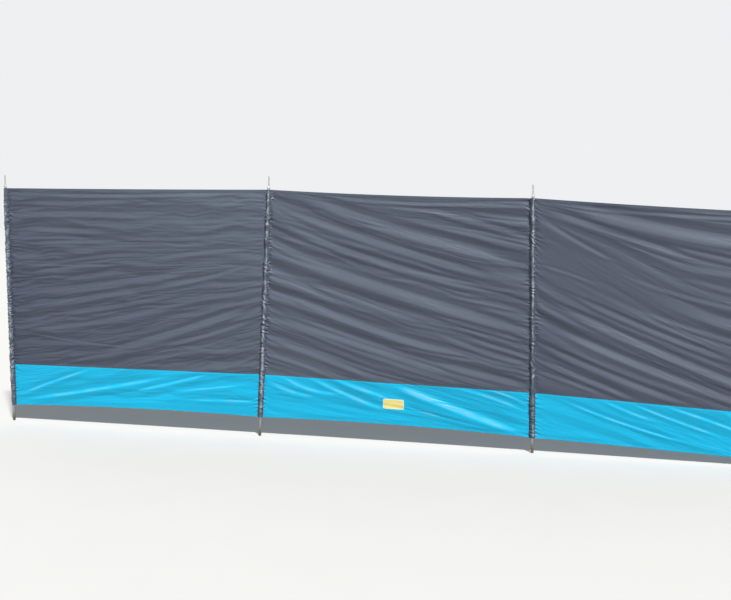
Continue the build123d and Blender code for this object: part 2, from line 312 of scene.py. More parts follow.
class SleeveSettings(bpy.types.PropertyGroup):
    """The sleeves sewn over the poles."""

    crease: a_length("Crease depth", "How far the sleeve's creases stand out", 0.0062)
    flange: a_length("Flange", "Width of the flat edge that is sewn to the cloth", 0.0035)
    step: a_length("Mesh spacing", "Distance between the sleeve's rows", 0.0030)
    dark: a_colour("Cloth", "Colour of the sleeves", (0.084, 0.107, 0.145))
    # Colour of the painted highlight on the sleeves' ridges, creases and seam gathers
    painted_light: a_colour("Highlit cloth", "Colour of the cloth where it is rubbed pale", (0.28, 0.315, 0.375))


class StitchSettings(bpy.types.PropertyGroup):
    """The sewing thread."""

    length: a_length("Stitch", "Length of one stitch", 0.0032)
    pitch: a_length("Pitch", "Distance from stitch to stitch", 0.0042)
    thread: a_length("Thread", "Thickness of the thread", 0.0008)


class PoleSettings(bpy.types.PropertyGroup):
    """The steel of the poles and their tips."""

    steel: a_colour("Tube", "Colour of the galvanised tube", (0.38, 0.39, 0.40))
    pin: a_colour("Pin", "Colour of the turned pins", (0.62, 0.62, 0.64))
    plug: a_colour("Plug", "Colour of the moulded plugs", (0.02, 0.02, 0.022))
    sides: bpy.props.IntProperty(name="Sides", description="Sides of a turned piece", default=40, min=12)


class StageSettings(bpy.types.PropertyGroup):
    """Floor, light and camera."""

    floor: a_colour("Floor", "Colour of the floor", (0.54, 0.54, 0.53))
    backdrop: a_colour("Backdrop", "Colour behind everything", (0.86, 0.87, 0.88))
    key: a_number("Key light", "Strength of the key lamp", 5.1)
    fill: a_number("Fill light", "Strength of the light from all round", 0.20)
    back: a_number("Back light", "Strength of the soft light from behind", 0.95)
    camera: bpy.props.FloatVectorProperty(
        name="Camera", description="Place of the camera", default=(3.6075, -6.15, 1.626),
        subtype="TRANSLATION", unit="LENGTH",
    )
    heading: a_number("Heading", "Turn of the view from the row's direction", math.radians(101.78), "ANGLE")
    dip: a_number("Dip", "How far the camera looks down", math.radians(6.88), "ANGLE")
    roll: a_number("Roll", "How far the camera leans", math.radians(0.61), "ANGLE")
    lens: a_number("Lens", "Focal length in millimetres", 52.25)


def settings(group):
    """The scene's settings of one group."""
    return getattr(bpy.context.scene, f"windbreak_{group}")


class Maths:
    """A socket that takes part in sums: each sum adds its Math node to the tree."""

    def __init__(self, nodes, socket):
        self.nodes = nodes
        self.socket = socket

    def sum(self, operation, *terms, clamp=False):
        return self.nodes.add("Math", dict(enumerate(terms)), operation=operation, use_clamp=clamp)

    def __add__(self, other):
        return self.sum("ADD", self, other)

    def __sub__(self, other):
        return self.sum("SUBTRACT", self, other)

    def __rsub__(self, other):
        return self.sum("SUBTRACT", other, self)

    def __mul__(self, other):
        return self.sum("MULTIPLY", self, other)

    def clamp(self):
        return self.sum("ADD", self, 0.0, clamp=True)

    def above(self, low, high, first=0.0, last=1.0):
        """Runs smoothly from a first to a last value as this one rises from low to high."""
        ends = {"Value": self, "From Min": low, "From Max": high, "To Min": first, "To Max": last}
        return self.nodes.add("MapRange", ends, interpolation_type="SMOOTHSTEP")


class Nodes:
    """A node tree and the few ways in which its nodes are made."""

    def __init__(self, tree):
        self.tree = tree

    def add(self, kind, inputs=None, output=0, **options):
        """A node of a kind, its options set first, then the values or links of its sockets."""
        made = self.tree.nodes.new(f"ShaderNode{kind}")
        for key, value in options.items():
            setattr(made, key, value)
        for key, value in (inputs or {}).items():
            self.plug(made.inputs[key], value)
        return Maths(self, made.outputs[output])

    def plug(self, socket, value):
        """Feeds a socket from another one, or with a number, a vector or a colour without its alpha."""
        if isinstance(value, Maths):
            self.tree.links.new(value.socket, socket)
        else:
            socket.default_value = (*value, 1.0) if socket.type == "RGBA" else value

    def seen(self):
        """1 where something looks, straight, by reflection or through glass, and 0 where light travels."""
        camera, glossy, through = (
            self.add("LightPath", output=f"Is {ray} Ray") for ray in ("Camera", "Glossy", "Transmission")
        )
        return (camera + glossy + through).clamp()

    def place(self, scale=None):
        """The point on the object, in metres."""
        raw = self.add("TexCoord", output="Object")
        return self.add("Mapping", {"Vector": raw, "Scale": scale}) if scale else raw

    def noise(self, scale, stretch=None, detail=2.0, roughness=0.5):
        """Noise from 0 to 1 with so many features to the metre."""
        inputs = {"Vector": self.place(stretch), "Scale": scale, "Detail": detail, "Roughness": roughness}
        return self.add("TexNoise", inputs)

    def streaks(self, layer, scale):
        """Fine creases from 0 to 1 that run along a map's first direction."""
        lines = self.add("Mapping", {"Vector": self.add("UVMap", uv_map=layer), "Scale": scale})
        wave = self.add("TexNoise", {"Vector": lines, "Scale": 1.0, "Detail": 1.0}) - 0.5
        patches = self.add("TexNoise", {"Vector": lines, "Scale": 0.23, "Detail": 1.0})
        return self.add("Math", {0: wave}, operation="ABSOLUTE") * patches.above(0.4, 0.65)

    def painted(self, name):
        """A number stored on the mesh's points."""
        return self.add("Attribute", output="Fac", attribute_name=name)

    def threads(self, direction, pitch):
        """Slightly wavering ribs across one direction, from 0 to 1, at a pitch in metres."""
        ribs = self.add("SeparateXYZ", {0: self.place()}, direction) + self.noise(9.0) * 0.012
        return self.add("Math", {0: ribs, 1: pitch / 2}, operation="PINGPONG") * (2 / pitch)

    def mix(self, factor, first, second):
        """Two colours, each a tuple or a socket, blended by a factor."""
        return self.add("Mix", {0: factor, 6: first, 7: second}, 2, data_type="RGBA")


class Shader(Nodes):
    """A new material with one surface."""

    def __init__(self, name, **constants):
        self.material = bpy.data.materials.new(name)
        self.material.use_nodes = True
        super().__init__(self.material.node_tree)
        self.surface = self.tree.nodes["Principled BSDF"]
        for socket, value in constants.items():
            self.surface.inputs[socket.replace("_", " ")].default_value = value

    def paint(self, colour, roughness=None, metallic=None, bump=None, depth=None, strength=1.0):
        """Feeds the surface and hands back the finished material."""
        if bump is not None:
            bump = self.add("Bump", {"Strength": strength, "Distance": depth, "Height": bump})
        fed = {"Base Color": colour, "Roughness": roughness, "Metallic": metallic, "Normal": bump}
        for socket, value in fed.items():
            if value is not None:
                self.plug(self.surface.inputs[socket], value)
        return self.material


def tint(colour, factor):
    """A colour made darker or lighter."""
    return tuple(channel * factor for channel in colour)


def woven_cloth(name, colour, shade, roughness, sunlit=False, painted_light=None, border=None):
    """Coated plain-weave cloth: fine threads, faint streaks along them and a satin sheen.

    Numbers on its points say how far it is painted sunlit, where it turns to the painted highlight colour,
    where painted shade darkens it and where its border is.
    """
    cloth = Shader(name, Specular_IOR_Level=0.5)
    weave = cloth.threads(0, 0.0012) * cloth.threads(2, 0.0012)
    cloud = cloth.noise(1.7, detail=3.0)
    fleck = cloth.noise(60.0, (1, 1, 2.5), detail=3.0)
    blotches_and_light = (cloud - 0.5) * 1.8 + (fleck - 0.5) * 0.8
    # For the dark cloth the share stored on its points is painted light: lighter towards its lit corners and
    # on the lit faces of its drawn folds, darker towards its shadowed corners
    blotches_and_light = (blotches_and_light * 0.3 + cloth.painted("sunlit") if sunlit else blotches_and_light + 0.5).clamp()
    tone = cloth.mix(blotches_and_light, shade, colour)
    # Painted highlight where the number on the points is above zero; painted shade, the colour darkened to
    # 0.3, where it is below zero
    if painted_light:
        wear_and_light = cloth.painted("painted_light")
        tone = cloth.mix((wear_and_light + fleck * 0.5 - 0.25).above(0.15, 0.85), tone, painted_light)
        tone = cloth.mix((0.0 - wear_and_light).above(0.1, 0.9), tone, tint(colour, 0.3))
    if border:
        tone = cloth.mix(cloth.painted("border").above(0.35, 0.65), tone, border)
    tone = cloth.mix(weave * 0.08, tone, tint(colour, 0.6))
    crumple = cloth.noise(95.0, detail=4.0, roughness=0.6)
    streaks = cloth.streaks("fold_lines", (5.0, 48.0, 1.0)) * cloth.painted("fold_spread")
    relief = weave * 0.03 + crumple * 0.15 + streaks * 1.6
    return cloth.paint(tone, blotches_and_light * -0.06 + fleck * 0.08 + roughness, bump=relief, depth=0.0030)


def thread(name, colour):
    """Twisted sewing thread."""
    yarn = Shader(name, Sheen_Weight=0.2, Sheen_Roughness=0.5)
    ply = yarn.noise(900.0, detail=1.0)
    return yarn.paint(yarn.mix(ply, tint(colour, 0.8), tint(colour, 1.25)), ply * 0.1 + 0.5)


def galvanised_steel(name, colour):
    """Thin zinc on drawn tube, with grey spangle, drawing lines and dirt near the ground."""
    zinc = Shader(name, Specular_IOR_Level=0.5)
    drawn = zinc.noise(900.0, (1, 1, 0.02), detail=3.0)
    spangle = zinc.add("TexVoronoi", {"Vector": zinc.place((1, 1, 0.4)), "Scale": 260.0}, feature="F1")
    scuff = zinc.noise(55.0, (1, 1, 0.35), detail=5.0, roughness=0.65)
    height = zinc.add("SeparateXYZ", {0: zinc.place()}, 2)
    patches = zinc.noise(0.7, detail=1.0)
    soil = ((1.0 - height.above(0.0, 0.12)) * 0.7 + scuff * 0.45 + patches * 0.2).above(0.55, 1.05)
    tone = zinc.mix(spangle.above(0.2, 0.9) * 0.5 + drawn * 0.3, tint(colour, 0.78), tint(colour, 1.12))
    roughness = drawn * 0.12 + scuff * 0.18 + soil * 0.3 + 0.24
    relief = drawn * 0.4 + scuff * 0.4 + soil * 0.5
    return zinc.paint(zinc.mix(soil, tone, SOIL), roughness, 1.0 - soil * 0.85, relief, 0.0002, 0.5)


def turned_steel(name, colour):
    """Bright turned steel: tool rings round the axis and small scratches."""
    metal = Shader(name, Specular_IOR_Level=0.5, Metallic=1.0)
    # Random scuffing of the steel only; no light is painted here
    rings = metal.noise(1500.0, (0.05, 0.05, 1))
    wear_and_light = metal.noise(120.0, detail=5.0, roughness=0.6)
    tone = metal.mix(wear_and_light, tint(colour, 0.8), tint(colour, 1.1))
    return metal.paint(tone, rings * 0.14 + wear_and_light * 0.16 + 0.14, bump=rings, depth=0.00008, strength=0.6)


def moulded_plastic(name, colour):
    """Fine-grained moulded plastic."""
    plastic = Shader(name)
    rub = plastic.noise(70.0, detail=3.0)
    tone = plastic.mix(rub, colour, tint(colour, 1.6))
    return plastic.paint(tone, rub * 0.15 + 0.42, bump=plastic.noise(1400.0), depth=0.00006, strength=0.5)


def studio_floor(name, colour, backdrop):
    """A pale floor that fades into the backdrop far away and keeps the object's shadow."""
    floor = Shader(name, Roughness=0.9, Specular_IOR_Level=0.1)
    speck = floor.noise(3.0, detail=6.0, roughness=0.6)
    pale = floor.mix(speck, tint(colour, 0.985), tint(colour, 1.015))
    floor.paint(floor.mix(floor.seen(), FLOOR_BOUNCE, pale))
    far = floor.add("VectorMath", {0: floor.place()}, 1, operation="LENGTH").above(*FLOOR_FADES)
    glow = floor.add("Emission", {"Color": backdrop, "Strength": 1.0})
    both = floor.add("MixShader", {0: far, 1: Maths(floor, floor.surface.outputs[0]), 2: glow})
    floor.plug(floor.tree.nodes["Material Output"].inputs["Surface"], both)
    return floor.material


def lattice_noise(x, y, seed):
    """Smooth noise over a plane, between about -1 and 1."""
    turn = np.random.default_rng(seed).uniform(0, 2 * math.pi, (64, 64))
    i, j = np.floor(x).astype(int), np.floor(y).astype(int)
    fx, fy = x - i, y - j
    ease_x, ease_y = (f**3 * (f * (f * 6 - 15) + 10) for f in (fx, fy))

    def pull(a, b):
        angle = turn[(i + a) % 64, (j + b) % 64]
        return np.cos(angle) * (fx - a) + np.sin(angle) * (fy - b)

    low = pull(0, 0) * (1 - ease_x) + pull(1, 0) * ease_x
    high = pull(0, 1) * (1 - ease_x) + pull(1, 1) * ease_x
    return 1.6 * (low * (1 - ease_y) + high * ease_y)


def rise(x, low, high):
    """Runs smoothly from 0 to 1 as x goes from low to high."""
    share = np.clip((x - low) / (high - low), 0, 1)
    return share * share * (3 - 2 * share)


def bump_at(x, middle, reach):
    """Runs smoothly from 0 to 1 and back as x passes a middle."""
    return np.exp(-(((x - middle) / reach) ** 2))


def guide_place(bay, u, level):
    """Where points lie among the bay's guide lines, and how tight the lines are there."""
    lines = [np.polyval(np.polyfit((0, 0.5, 1), np.array(line) / 1000, 2), u) for line in GUIDES[bay]]
    place = np.zeros_like(u)
    tight = np.zeros_like(u)
    for low, high in zip(lines, lines[1:]):
        gap = np.maximum(high - low, 0.004)
        share = np.clip((level - low) / gap, 0, 1)
        place += share * GUIDE_SPACING
        tight = np.where((share > 0) | (tight == 0), gap / GUIDE_SPACING, tight)
    return place, np.clip(tight, 0.1, 1.3)


def drawn_folds(bay, u, level):
    """The drawn folds of a bay, each a lit face that leans back with a darker face on each side.

    Gives whether a fold is in the band, how steep it is, its height, its strength from end to end and the
    distance from its middle in halves of its width.
    """
    for *line, width, steep in FOLDS[bay]:
        shares, levels = np.array(line[::2]) / 100, np.array(line[1::2]) / 1000
        steep = steep / 100
        band = bool(levels.max() < BAND_HEIGHT + 0.01)
        curve = np.polyfit(shares, levels, 2)
        slope = np.polyval(np.polyder(curve), u) / BAY_LENGTHS[bay]
        start, end = shares[0], shares[-1]
        run = 0.25 * (end - start)
        ends = rise(u, start - 0.02, start + run) * (1 - rise(u, end - run, end + 0.02))
        half = width / 2000 * (1 - FOLD_TAPER * (1 - ends))
        across = (level - np.polyval(curve, u)) / np.sqrt(1 + slope**2) / half
        away = np.abs(across)
        lit = across * (1 - 0.12 * away**6)
        shaded = np.sign(across) * np.maximum(1 - SHADED_FACES[band] * (away - 1), 0)
        strength = (BAND_FOLDS if band else DRAWN_FOLDS)[bay]
        height = -steep * strength * half * ends * np.where(away < 1, lit, shaded)
        yield band, steep, height, ends, away


def ridges(phase):
    """Ridges and valleys with almost flat faces, from -1 to 1, one to each whole step of the phase."""
    wave = 4 * np.abs(phase - np.floor(phase) - 0.5) - 1
    return wave * (1 - 0.06 * wave**8)


def stretched_folds(bay, u, level):
    """Height of all the folds that the pull between the poles draws in a bay."""
    height = np.zeros_like(u)
    drawn = np.zeros_like(u)
    for _, _, fold, ends, away in drawn_folds(bay, u, level):
        height += fold
        drawn = np.maximum(drawn, ends * (1 - rise(away, 1.2, 2.6)))
    along = u * BAY_LENGTHS[bay]
    place, tight = guide_place(bay, u, level)
    calm = np.where(level < BAND_HEIGHT, BAND_CALM, 1.0) * (1 - 0.6 * drawn)
    for share, middle, reach, rise_reach, left in CALM_PLACES[bay]:
        calm *= 1 - (1 - left) * bump_at(u, share, reach) * bump_at(level, middle, rise_reach)
    for layer, (length, spacing, slope) in enumerate(SMALL_FOLDS[bay]):
        seed = FOLD_SEEDS[bay] + layer
        wander = FOLD_WANDER[bay] * lattice_noise(along / length, place / (spacing * 2.6), seed + 50)
        wander += 0.16 * lattice_noise(along / (length * 0.4), place / (spacing * 1.3), seed + 60)
        patches = lattice_noise(along / (length * 0.7), place / (spacing * 1.7), seed)
        strength = np.clip(0.85 + 1.1 * patches, 0.1, 1.5) * calm * tight
        height += slope * spacing / 4 * strength * ridges(place / spacing + wander)
    return height


def painted_crest_light(bay, u, level, in_band):
    """Painted highlight along the lit faces of the drawn folds of a bay's band or of its dark cloth."""
    painted_light = np.zeros_like(u)
    for band, steep, _, ends, away in drawn_folds(bay, u, level):
        if band == in_band:
            painted_light = np.maximum(painted_light, min(1, steep / FULLY_HIGHLIT) * ends * (1 - rise(away, 0.3, 1.1)))
    along, up, pale = (0.11, 0.045, BAND_CREST_LIGHT) if in_band else (0.40, 0.12, DARK_CREST_LIGHT)
    patches = lattice_noise(u * BAY_LENGTHS[bay] / along, level / up, FOLD_SEEDS[bay] + 70)
    return painted_light * np.clip(0.8 + 0.9 * patches, 0.2, 1.2) * pale[bay]


def blurred(field, reach):
    """A grid with everything smaller than a reach, given in steps of the grid, smoothed away."""
    for axis, steps in enumerate(reach):
        weights = np.exp(-0.5 * (np.arange(-3 * steps, 3 * steps + 1) / steps) ** 2)
        weights /= weights.sum()
        lines = np.pad(np.moveaxis(field, axis, 0), ((3 * steps, 3 * steps), (0, 0)), "edge")
        count = field.shape[axis]
        field = sum(weight * lines[start:start + count] for start, weight in enumerate(weights))
        field = np.moveaxis(field, 0, axis)
    return field


@functools.lru_cache(maxsize=None)
def fold_field(bay):
    """Height of a bay's folds on an even grid, their faces flattened where they would get too steep."""
    up, along = FIELD_STEPS
    shares = np.linspace(0, 1, int(round(BAY_LENGTHS[bay] / along)) + 1)
    levels = np.arange(-FIELD_EDGE, CLOTH_HEIGHT + FIELD_EDGE, up)
    u, level = np.meshgrid(shares, levels)
    height = stretched_folds(bay, u, level)
    band = 1 - rise(level[1:], BAND_HEIGHT - 0.04, BAND_HEIGHT)
    limit = STEEPEST[bay] + (STEEPEST_BAND - STEEPEST[bay]) * band
    slope = np.diff(height, axis=0) / up
    flattened = np.zeros_like(height)
    flattened[1:] = np.cumsum(limit * np.tanh(slope / limit), axis=0) * up
    return flattened - blurred(flattened - height, (int(DRIFT_REACH / up), 1))


def fold_height(bay, u, level):
    """Height of a bay's folds at any points, read from its grid."""
    field = fold_field(bay)
    up = np.clip((level + FIELD_EDGE) / FIELD_STEPS[0], 0, field.shape[0] - 1.001)
    along = np.clip(u * (field.shape[1] - 1), 0, field.shape[1] - 1.001)
    i, j = up.astype(int), along.astype(int)
    up, along = up - i, along - j
    low = field[i, j] * (1 - along) + field[i, j + 1] * along
    high = field[i + 1, j] * (1 - along) + field[i + 1, j + 1] * along
    return low * (1 - up) + high * up


def seam_seed(pole, side):
    """Seed of the gathers where a bay meets a pole, with its left (0) or its right side (1)."""
    return 71 + 3 * pole + side


def seam_gathers(level, distance, spacing, seed):
    """Regular gathers beside a seam that runs up a pole, from about -1 to 1."""
    phase = level / spacing + 0.8 * lattice_noise(level / (spacing * 2.5), distance / (spacing * 3), seed)
    patches = lattice_noise(level / (spacing * 5), distance / 0.1, seed + 5)
    return np.clip(0.75 + 1.1 * patches, 0.1, 1.4) * ridges(phase)


def forward(bay, u, level):
    """How far the cloth stands out towards the front of its plane, at points of a bay."""
    length = BAY_LENGTHS[bay]
    sides = (u * length, (1 - u) * length)
    nearest = np.minimum(*sides)
    height = fold_height(bay, u, level)
    height *= 1 - UPPER_STIFFNESS * rise(level, CLOTH_HEIGHT - 0.030, CLOTH_HEIGHT - 0.008)
    for row in (TOP_STITCH, *SEAM_STITCHES, BOTTOM_STITCH):
        height -= SEWN_DIP * bump_at(level, row, 0.0025)
    height *= 1 - LOWER_STIFFNESS * (1 - rise(level, 0.008, 0.035))
    height *= 1 - SEAM_STIFFNESS * bump_at(level, BAND_HEIGHT + 0.004, 0.012)
    height *= rise(nearest, 0.014, 0.040)
    for row, reach, spacing, deep, seed in ROW_GATHERS:
        away = np.abs(level - row)
        wave = lattice_noise((u * length + bay * 7.0) / spacing, away / (reach * 2), seed)
        height += deep * np.exp(-away / reach) * wave * rise(nearest, 0.02, 0.05)
    for side, away in enumerate(sides):
        pole = bay + side
        clear = np.maximum(away - sleeve_reach(pole, level)[1 - side], 0)
        slanted = level + SEAM_SLANTS[bay][side] * clear
        small, large = (deep * np.exp(-clear / reach) for deep, reach in FAR_GATHERS)
        small = SEAM_GATHERS[bay][side] * np.exp(-clear / NEAR_REACH) + small
        seed = seam_seed(pole, side)
        gather = small * seam_gathers(slanted, clear, SMALL_GATHERS, seed)
        gather += large * seam_gathers(slanted, clear, LARGE_GATHERS, seed + 20)
        height += gather * rise(away, 0.009, 0.016)
    belly = np.clip(BELLY * 4 * u * (1 - u), 0, None)
    return settings("cloth").fold_depth * (DEEPEST * np.tanh(height / DEEPEST) + belly)


def lower_edge(pole):
    """Point on a pole's axis at the height of the cloth's lower edge."""
    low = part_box(f"pole_{pole + 1}_sleeve")[0]
    lift = low.z + SLEEVE_WIDTH / 2 * abs(AXES[pole].x)
    return FEET[pole] + AXES[pole] * (lift / AXES[pole].z)


def on_pole(pole, level, offset=0.0):
    """Points on a pole's axis at levels of the cloth, or offset from it to the right, square to the pole."""
    level, offset = np.asarray(level, float)[..., None], np.asarray(offset, float)[..., None]
    square = np.array((AXES[pole].z, 0, -AXES[pole].x))
    return np.array(lower_edge(pole)) + level * np.array(AXES[pole]) + offset * square


def bow(bay, u, level):
    """How far a level hangs or is drawn up between the poles."""
    curve = 4 * u * (1 - u) * ((u > 0) & (u < 1))
    above = (level - BAND_HEIGHT) / (CLOTH_HEIGHT - BAND_HEIGHT)
    sag = -TOP_SAG[bay] * np.clip(above, 0, None)
    drawn = BOTTOM_RISE[bay] * np.clip(1 - level / BAND_HEIGHT, 0, None)
    return curve * (sag + drawn)


def cloth_points(bay, u, level, depth=0.0):
    """Points of the cloth's middle surface. Past an end of the bay, u runs on square to the pole."""
    u, level = np.broadcast_arrays(np.asarray(u, float), np.asarray(level, float))
    left = on_pole(bay, level, np.minimum(u, 0) * BAY_LENGTHS[bay])
    right = on_pole(bay + 1, level, np.maximum(u - 1, 0) * BAY_LENGTHS[bay])
    points = left + (right - left) * np.clip(u, 0, 1)[..., None]
    points[..., 2] += bow(bay, u, level)
    points[..., 1] += CLOTH_MIDDLE + depth - forward(bay, u, level)
    return points


def surface_normals(points):
    """Unit normals of a grid of points, towards the front for a cloth's grid."""
    normals = np.cross(np.gradient(points, axis=1), np.gradient(points, axis=0))
    return normals / np.linalg.norm(normals, axis=-1, keepdims=True)


def new_piece(name, vertices, faces, material, angle=50):
    """A mesh object at the origin, riding on the poles' body."""
    mesh = bpy.data.meshes.new(name)
    mesh.from_pydata(vertices.tolist(), [], faces.tolist())
    mesh.materials.append(material)
    piece = bpy.data.objects.new(name, mesh)
    bpy.context.collection.objects.link(piece)
    finish_piece(piece, angle)
    return piece


def finish_piece(piece, angle):
    """Shades a piece smooth but for its sharp edges, and ties it to the body."""
    select_only(piece)
    bpy.ops.object.shade_smooth_by_angle(angle=math.radians(angle))
    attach(piece, "root")


def select_only(piece):
    bpy.ops.object.select_all(action="DESELECT")
    piece.select_set(True)
    bpy.context.view_layer.objects.active = piece


def turn_outwards():
    """Turns the faces of the piece in edit mode outwards, and leaves edit mode."""
    bpy.ops.mesh.select_all(action="SELECT")
    bpy.ops.mesh.normals_make_consistent(inside=False)
    bpy.ops.object.mode_set(mode="OBJECT")


def grid_faces(rows, columns, start, flip, falling):
    """Four-sided faces over a grid of vertices, their diagonals along rising or falling folds."""
    index = start + np.arange(rows * columns).reshape(rows, columns)
    corners = [index[:-1, :-1], index[:-1, 1:], index[1:, 1:], index[1:, :-1]]
    if falling:
        corners = corners[1:] + corners[:1]
    if flip:
        corners = corners[:1] + corners[:0:-1]
    return np.stack(corners, -1).reshape(-1, 4)


def cloth_shell(name, points, thickness, material, falling=False):
    """A closed sheet of even thickness round a grid of middle points."""
    rows, columns = points.shape[:2]
    half = surface_normals(points) * thickness / 2
    vertices = np.concatenate([(points + half).reshape(-1, 3), (points - half).reshape(-1, 3)])
    count = rows * columns
    index = np.arange(count).reshape(rows, columns)
    faces = [grid_faces(rows, columns, 0, False, falling), grid_faces(rows, columns, count, True, falling)]
    for edge, flip in ((index[0], True), (index[-1], False), (index[:, 0], False), (index[:, -1], True)):
        rim = np.stack([edge[:-1], edge[1:], edge[1:] + count, edge[:-1] + count], -1)
        faces.append(rim[:, ::-1] if flip else rim)
    return new_piece(name, vertices, np.concatenate(faces), material)


def store_on_points(piece, name, values):
    """Keeps a number on the points of a shell, the same in front and behind."""
    stored = piece.data.attributes.new(name, "FLOAT", "POINT")
    stored.data.foreach_set("value", np.tile(values.ravel(), 2))


def map_points(piece, name, across, up):
    """A map over a shell: two coordinates for each point of its grid, the same in front and behind."""
    corners = np.empty(len(piece.data.loops), dtype=int)
    piece.data.loops.foreach_get("vertex_index", corners)
    places = np.stack([across.ravel(), up.ravel()], -1)
    layer = piece.data.uv_layers.new(name=name)
    layer.data.foreach_set("uv", places[corners % len(places)].ravel())


def turned_edge(edge, reach, depth, inward):
    """Rows round a turned edge: from its free end behind the cloth, round the fold, to the front."""
    radius = depth / 2
    behind = [(edge + inward * reach * share, depth) for share in (1.0, 0.75, 0.5, 0.25)]
    turns = [math.pi * step / 6 for step in range(7)]
    fold = [(edge + inward * radius * (1 - math.sin(turn)), radius * (1 + math.cos(turn))) for turn in turns]
    return behind + fold


def even_rows(low, high, step, dense):
    """Rows in the front layer from low to high, evenly spaced, with closer ones round the dense places."""
    count = max(2, int(round((high - low) / step)))
    levels = set(np.round(np.linspace(low, high, count + 1), 6))
    for place in dense:
        levels |= {round(place + offset, 6) for offset in (-0.003, 0.0, 0.003)}
    kept = [low]
    for level in sorted(levels):
        if kept[-1] + 0.0012 < level <= high:
            kept.append(level)
    return [(level, 0.0) for level in kept]


def columns(bay):
    """Shares of the bay at which the mesh has columns, with the overhang at the row's ends."""
    length = BAY_LENGTHS[bay]
    near = [0.0, 0.006, 0.012, 0.017, 0.021, 0.025, 0.030, 0.036]
    clear = 0.043
    count = int(round((length - 2 * clear) / settings("cloth").columns)) + 1
    places = [*near, *np.linspace(clear, length - clear, count), *(length - place for place in near[::-1])]
    over = [END_OVERHANG * share for share in (0.25, 0.5, 0.75, 1.0)]
    if bay == 0:
        places = [-place for place in over[::-1]] + places
    if bay == BAYS - 1:
        places += [length + place for place in over]
    return np.array(places) / length


def add_sheet(bay, name, rows, material):
    """A sheet of cloth over one bay, from rows of (level, depth), cut to a height.

    Gives the piece, and the share of the bay and the level of each of its points.
    """
    cloth = settings("cloth")
    levels, depths = np.array(rows).T[:, :, None]
    u, level = np.meshgrid(columns(bay), levels)
    points = cloth_points(bay, u, level, depths)
    falling = GUIDES[bay][2][0] > GUIDES[bay][2][2]
    piece = cloth_shell(f"bay_{bay + 1}_{name}", points, cloth.thickness, material, falling)
    share = np.clip(u, 0, 1)
    place, tight = guide_place(bay, share, level)
    map_points(piece, "fold_lines", u * BAY_LENGTHS[bay] + 2 * bay, place)
    store_on_points(piece, "fold_spread", rise(tight, 0.3, 1.0))
    width = BAY_LENGTHS[bay] + END_OVERHANG * ((bay == 0) + (bay == BAYS - 1))
    return piece, share, level


def add_upper_cloth(bay, material):
    """The dark cloth of one bay: hemmed above, turned under at the seam."""
    seam = turned_edge(BAND_HEIGHT, TURNED_EDGE, TURNED_DEPTH, 1)
    hem = turned_edge(CLOTH_HEIGHT, TOP_HEM, HEM_DEPTH, -1)
    dense = (TOP_STITCH, *SEAM_STITCHES)
    front = even_rows(BAND_HEIGHT + 0.003, CLOTH_HEIGHT - 0.003, settings("cloth").rows, dense)
    piece, share, level = add_sheet(bay, "dark_cloth", seam + front + hem[::-1], material)
    height = level / CLOTH_HEIGHT
    # Painted light: lighter towards the corners listed in CORNER_LIGHT and painted highlight on the lit faces
    # of the drawn folds, stored as the share of the sunlit colour
    below, above = (left * (1 - share) + right * share for left, right in (CORNER_LIGHT[bay][:2], CORNER_LIGHT[bay][2:]))
    crest_highlights = painted_crest_light(bay, share, level, False)
    store_on_points(piece, "sunlit", below * (1 - height) + above * height + crest_highlights * (1.1 - height))
    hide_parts(f"bay_{bay + 1}_upper_cloth")


def add_band(bay, material):
    """The light band of one bay: lapped behind the seam, hemmed below."""
    steps = ((-0.005, 0.35), (-0.002, 0.8), (0.001, 1.0), (0.006, 1.0), (SEAM_LAP, 1.0))
    lap = [(BAND_HEIGHT + up, LAP_DEPTH * share) for up, share in steps]
    front = even_rows(0.003, BAND_HEIGHT - 0.009, settings("cloth").rows, (BOTTOM_STITCH,))
    hem = turned_edge(0.0, BOTTOM_HEM, HEM_DEPTH, 1)
    piece, share, level = add_sheet(bay, "light_band", hem + front + lap, material)
    # Painted highlight on the lit faces of the band's drawn folds
    store_on_points(piece, "painted_light", painted_crest_light(bay, share, level, True))
    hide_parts(f"bay_{bay + 1}_lower_band")


def sleeve_reach(pole, level):
    """How far a sleeve reaches to the left and the right of its pole's axis at a level."""
    low, high = np.array(SLEEVE_REACH[pole])
    reach = low + (high - low) * np.asarray(level, float)[..., None] / CLOTH_HEIGHT
    return reach[..., 0], reach[..., 1]


def sleeve_outline(reach, side):
    """Half of a sleeve's outline at each level, from its ridge out to its edge: offsets and depths."""
    radius = TUNNEL_RADIUS + settings("cloth").thickness / 2
    foot = CLOTH_MIDDLE - FLAT_LEAD
    root = np.maximum(reach - settings("sleeve").flange, radius + 0.0006)
    lean = np.arctan2(foot, root) - np.arccos(np.minimum(1.0, radius / np.hypot(root, foot)))
    turn = np.linspace(0, 1, 6)[:, None] * (math.pi / 2 + lean)
    offsets, depths = list(radius * np.sin(turn)), list(-radius * np.cos(turn))
    for share in (0.3, 0.6, 0.85, 1.0):
        offsets.append(offsets[5] + (root - offsets[5]) * share)
        depths.append(depths[5] + (foot - depths[5]) * share)
    for share in (0.5, 1.0):
        offsets.append(root + (reach - root) * share)
        depths.append(np.full_like(root, foot))
    return np.array(offsets) * side, np.array(depths)


def cloth_at(pole, offset, level):
    """How far forward the cloth stands behind a point of a sleeve."""
    standing = np.zeros_like(offset)
    for bay in {max(pole - 1, 0), min(pole, BAYS - 1)}:
        here = (offset < 0) == (bay == pole - 1) if 0 < pole < BAYS else np.full(offset.shape, True)
        depth = forward(bay, offset / BAY_LENGTHS[bay] + pole - bay, level)
        standing = np.where(here, depth, standing)
    return standing


def along_sleeve(level, amounts):
    """Amounts given from the cloth's lower edge to its top, read at levels."""
    return np.interp(level, np.linspace(0, CLOTH_HEIGHT, len(amounts)), amounts)


